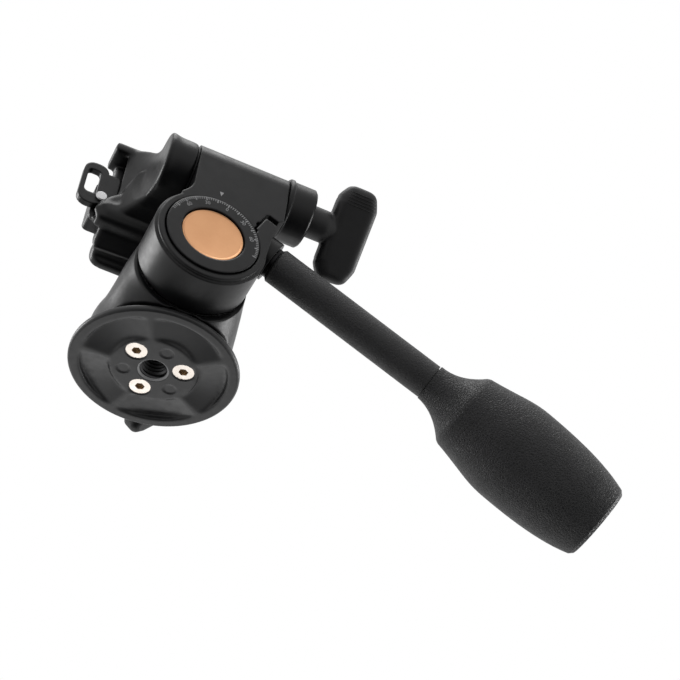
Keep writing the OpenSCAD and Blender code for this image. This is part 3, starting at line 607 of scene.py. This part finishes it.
def stand_in(obj, node, look, body):
    """The softened copy takes the node's place."""
    obj.data.materials.clear()
    obj.data.materials.append(look)
    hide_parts(node)
    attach(obj, body)


# The housing: its barrel, which ends in a round at the back, flows into its dome
BARREL_R, BARREL_ROUND_Y, BARREL_ROUND = 20.2, -22.1, 18.0
DOME_R, DOME_Z, DOME_H = 25.5, 12.4, 20.6
BLEND = 16.0
SWELL_STEPS, SWELL_MOST = 14, 0.8
PROBE = 0.05                            # step for the gradient
LEAST_SLOPE = 0.15                      # floor for the gradient's square


def barrel_and_dome(co):
    """Signed distances, about, from the barrel and from the dome."""
    x, y, z = co.T
    run = np.clip((y - BARREL_ROUND_Y) / BARREL_ROUND, 0, 1)
    barrel = np.hypot(x, z - TILT_Z) - BARREL_R * np.sqrt(1 - run ** 2)
    high = np.clip((z - DOME_Z) / DOME_H, 0, None)
    dome = (np.hypot(np.hypot(x, y) / DOME_R, high) - 1) * DOME_R
    return barrel, dome


def outer_skin(barrel, dome):
    """1 on the outside of the housing, 0 within its walls."""
    return fade(-np.minimum(barrel, dome), 0.9, 1.4)


def crease(co):
    """1 along the line where the barrel meets the dome, 0 away from it and inside."""
    barrel, dome = barrel_and_dome(co)
    y = co[:, 1]
    along = fade(np.maximum(barrel, dome), 2.0, 7.5)
    return along * outer_skin(barrel, dome) * fade(y, -10.0, -6.0) * fade(-y, 20.5, 23.5)


def blended(co):
    """Signed distance, about, from the barrel and dome blended into one form."""
    barrel, dome = barrel_and_dome(co)
    h = np.clip(0.5 + 0.5 * (dome - barrel) / BLEND, 0, 1)
    return dome + (barrel - dome) * h - BLEND * h * (1 - h)


def swell(obj):
    """Moves the housing's outer skin out to the blended form, off its seams and its back."""
    co = points(obj.data) / MM
    y, z = co[:, 1], co[:, 2]
    free = fade(y, -9.0, -4.0) * fade(-y, 26.0, 26.9) * fade(-z, -7.5, -6.0)
    free *= outer_skin(*barrel_and_dome(co))
    for _ in range(SWELL_STEPS):
        inside = np.minimum(blended(co), 0)
        slope = [blended(co + d) - blended(co - d) for d in np.eye(3) * PROBE]
        slope = np.stack(slope, 1) / (2 * PROBE)
        square = np.maximum((slope ** 2).sum(1), LEAST_SLOPE)
        step = np.clip(0.5 * free * inside / square, -SWELL_MOST, SWELL_MOST)
        co -= step[:, None] * slope
    set_points(obj.data, co)


housing = fine_copy("pan_housing", 0.4)
swell(housing)
relax(housing, crease, 60)
stand_in(housing, "pan_housing", casting, "pan")


# The base: its scoops run softly into one another
def scoops(co):
    """The underside of the base between its inner land and its rim."""
    x, y, z = co.T
    r = np.hypot(x, y)
    return rise(r, 13.6, 14.4) * fade(r, 26.6, 27.6) * fade(z, 3.6, 4.4)


base = fine_copy("base_plate", 0.3)
relax(base, scoops, 22)
stand_in(base, "base_plate", base_casting, "base")


# The platform: a casting with soft edges and one raised pad. The pad's outline lies in a fixed
# plane, as distances along PLAN_A and PLAN_B
PLAN_A = np.array((0.903, -0.419, 0.094))
PLAN_B = np.array((-0.352, -0.598, 0.720))
PLAN_OUT = np.array((-0.2455, -0.6833, -0.6875))
PAD = [(0.0, 70.6), (-3.9, 71.9), (-7.5, 70.9), (-10.2, 67.6), (-12.9, 64.0), (-16.5, 61.6),
       (-20.7, 59.5), (-22.8, 57.4), (-23.7, 52.0), (-23.1, 46.6), (-22.8, 43.6), (-7.5, 38.2),
       (3.3, 52.0), (0.9, 64.0)]
PAD_HEIGHT, PAD_SHOULDER = 0.9, 1.0
HUB_CLEAR = (13.5, 16.5)                # distances from the roll axis over which the pad sets in
LEVER_CLEAR = (2.8, 4.4)                # distances from the lever over which it does


def depth_in(outline, a, b):
    """Distance inside an outline, negative outside."""
    d = np.full(a.shape, 1e9)
    inside = np.zeros(a.shape, dtype=bool)
    for (a0, b0), (a1, b1) in zip(outline, outline[1:] + outline[:1]):
        ea, eb = a1 - a0, b1 - b0
        t = np.clip(((a - a0) * ea + (b - b0) * eb) / (ea * ea + eb * eb), 0, 1)
        d = np.minimum(d, np.hypot(a - a0 - t * ea, b - b0 - t * eb))
        if eb:
            inside ^= ((b0 > b) != (b1 > b)) & (a < ea * (b - b0) / eb + a0)
    return np.where(inside, d, -d)


def raise_pad(obj, weight):
    """Lifts the skin inside the pad's outline, over a soft shoulder."""
    co, normal = points(obj.data) / MM, points(obj.data, "normal")
    off_hub = rise(np.hypot(co[:, 1] - ROLL_Y, co[:, 2] - ROLL_Z), *HUB_CLEAR)
    facing = rise(normal @ PLAN_OUT, 0.05, 0.30)
    depth = depth_in(PAD, co @ PLAN_A, co @ PLAN_B)
    t = np.clip(depth / PAD_SHOULDER + 0.5, 0, 1)
    lift = PAD_HEIGHT * facing * off_hub * weight(co) * t * t * (3 - 2 * t)
    set_points(obj.data, co + normal * lift[:, None])


platform = fine_copy("platform_body", 0.35)
off_mates = clear_of("platform_body")
off_lever = clear_of("platform_body", *LEVER_CLEAR, others=("release_lever",))
relax(platform, off_mates, 30)
raise_pad(platform, lambda co: off_mates(co) * off_lever(co))
relax(platform, off_mates, 3)
stand_in(platform, "platform_body", casting, "platform")


# The flip knob: a wing with full, round ends and ribs across one end of each face
WING_TURN = math.radians(45)
WING_ALONG = Vector((0, -math.sin(WING_TURN), math.cos(WING_TURN)))
WING_OUT = Vector((0, math.cos(WING_TURN), math.sin(WING_TURN)))
WING_X1 = box_mm("roll_knob")[1].x
TIP_FROM, TIP_TO, TIP_WIDER = 12.0, 18.0, 0.24
ROLL_AXIS = Vector((0, ROLL_Y, ROLL_Z))
RIB_COUNT, RIB_FIRST, RIB_PITCH = 5, 11.0, 1.12
RIB_STEPS, RIB_INSET, RIB_LENGTH = 16, 1.0, 12.0
RIB_FOOT, RIB_CREST = 0.26, 0.12        # half widths
RIB_HEIGHT, RIB_SUNK = 0.26, 0.12
RIB_RAMP = 4                            # a rib rises over one part in this many of its length
CAST_FROM = 20                          # distance from the roll axis, outside the wing


def fill_ends(obj):
    """Widens the wing's ends towards its inner side."""
    co = points(obj.data) / MM
    reach = np.abs((co - np.array(ROLL_AXIS)) @ np.array(WING_ALONG))
    wider = 1 + TIP_WIDER * rise(reach, TIP_FROM, TIP_TO)
    co[:, 0] = WING_X1 - (WING_X1 - co[:, 0]) * wider
    set_points(obj.data, co)


def rib(cast, side, reach):
    """A low ridge along X, laid on the wing's face on one side, or None off the wing."""
    way = WING_OUT * side
    sections = []
    for i in range(RIB_STEPS + 1):
        x = WING_X1 - RIB_INSET - RIB_LENGTH * (1 - i / RIB_STEPS)
        ramp = RIB_RAMP * min(i, RIB_STEPS - i) / RIB_STEPS
        lift = RIB_HEIGHT * min(1.0, ramp)
        row = []
        for shift, height in ((-RIB_FOOT, -RIB_SUNK), (-RIB_CREST, lift),
                              (RIB_CREST, lift), (RIB_FOOT, -RIB_SUNK)):
            start = ROLL_AXIS + Vector((x, 0, 0)) + WING_ALONG * (reach + shift) - way * CAST_FROM
            hit = cast(start, way)
            if hit is not None:
                row.append(tuple(hit - way * height))
        if len(row) == 4:
            sections.append(row[::side])
    return sweep(sections) if len(sections) > 3 else None


knob = fine_copy("roll_knob", 0.35)
relax(knob, clear_of("roll_knob"), 12)
fill_ends(knob)
stand_in(knob, "roll_knob", plastic, "flip_lock")

cast = ray_caster(knob.data)
ribs = [rib(cast, side, side * (RIB_FIRST + RIB_PITCH * k))
        for side in (-1, 1) for k in range(RIB_COUNT)]
verts, faces = joined([r for r in ribs if r])
piece("knob_ribs", verts, faces, plastic, "flip_lock", smooth=True)


# Camera: below and in front of the head, as in the photograph
CAMERA_AT = Vector((-92.4, -442.3, -397.8))
right = Vector((0.903, -0.419, 0.094)).normalized()
up = Vector((-0.352, -0.598, 0.720))
back = right.cross(up).normalized()
up = back.cross(right)
camera = bpy.data.objects.new("camera", bpy.data.cameras.new("camera"))
scene.collection.objects.link(camera)
camera.data.sensor_width = 36.0
camera.data.lens = 91.85
camera.data.clip_start = 0.01
turn = Matrix((right, up, back)).transposed().to_4x4()
camera.matrix_world = Matrix.Translation(CAMERA_AT * MM) @ turn
scene.camera = camera


# Light, with distances and sizes in metres and power in watts
CENTRE = Vector((30, -20, 35)) * MM


def lamp(name, direction, distance, size, power):
    """A round lamp that faces the head from one direction."""
    data = bpy.data.lights.new(name, "AREA")
    data.shape = "DISK"
    data.size = size
    data.energy = power
    obj = bpy.data.objects.new(name, data)
    scene.collection.objects.link(obj)
    way = direction.normalized()
    obj.location = CENTRE + way * distance
    obj.rotation_mode = "QUATERNION"
    obj.rotation_quaternion = way.to_track_quat("Z", "Y")


lamp("key", up - back * 0.6, distance=0.9, size=0.7, power=3.4)
lamp("left", -right - back * 0.35 + up * 0.15, distance=0.9, size=0.5, power=4.5)
lamp("right", right - back * 0.45 - up * 0.45, distance=0.9, size=0.5, power=4.5)
lamp("low", -up - right * 0.4 - back * 0.3, distance=1.0, size=0.6, power=0.8)

# A white studio that turns dark towards the front and below
DARK_WAY = (-0.033, -0.286, -0.957)
LIGHT_AT, DARK_AT = 0.35, 0.97          # cosine of the angle to DARK_WAY
LIGHT, DARK = 0.90, 0.03
world = bpy.data.worlds.new("studio")
scene.world = world
t = Tree(world, "ShaderNodeOutputWorld")
sky = t.add("ShaderNodeBackground")
sky.inputs["Color"].default_value = (1, 1, 1, 1)
way = t.vec("DOT_PRODUCT", t.add("ShaderNodeTexCoord").outputs["Generated"], DARK_WAY)
studio = t.remap(way, LIGHT_AT, DARK_AT, LIGHT, DARK)
seen = t.add("ShaderNodeLightPath").outputs["Is Camera Ray"]
t.link(t.remap(seen, 0.0, 1.0, studio, 1.0), sky.inputs["Strength"])
t.link(sky.outputs[0], t.out.inputs["Surface"])

# Floor: pale paper that shows from above only, because the photograph looks up from below. It lies
# under the reach of the handle at full tilt, and fades out into the white background
FLOOR_Z = -150 * MM
FLOOR_HALF = 3.0                        # metres, as are the next two
FLOOR_FULL, FLOOR_GONE = 0.4, 1.6
mesh = bpy.data.meshes.new("floor")
corners = [(-FLOOR_HALF, -FLOOR_HALF), (FLOOR_HALF, -FLOOR_HALF), (FLOOR_HALF, FLOOR_HALF),
           (-FLOOR_HALF, FLOOR_HALF)]
mesh.from_pydata([(x, y, FLOOR_Z) for x, y in corners], [], [(0, 1, 2, 3)])
floor = bpy.data.objects.new("floor", mesh)
scene.collection.objects.link(floor)
t = material_tree("floor_paper")
paper = t.add("ShaderNodeBsdfDiffuse")
t.link(t.blend(t.noise(6.0), (0.95, 0.95, 0.95), (0.97, 0.97, 0.97)), paper.inputs["Color"])
clear = t.add("ShaderNodeBsdfTransparent")
mix = t.add("ShaderNodeMixShader")
away = t.remap(t.radius_from(t.xyz()["X"], t.xyz()["Y"]), FLOOR_FULL, FLOOR_GONE)
below = t.add("ShaderNodeNewGeometry").outputs["Backfacing"]
t.link(t.math("MAXIMUM", away, below), mix.inputs["Fac"])
t.link(paper.outputs[0], mix.inputs[1])
t.link(clear.outputs[0], mix.inputs[2])
t.link(mix.outputs[0], t.out.inputs["Surface"])
mesh.materials.append(t.owner)
floor.visible_shadow = False
floor.visible_diffuse = False
floor.visible_glossy = False

scene.view_settings.view_transform = "Standard"
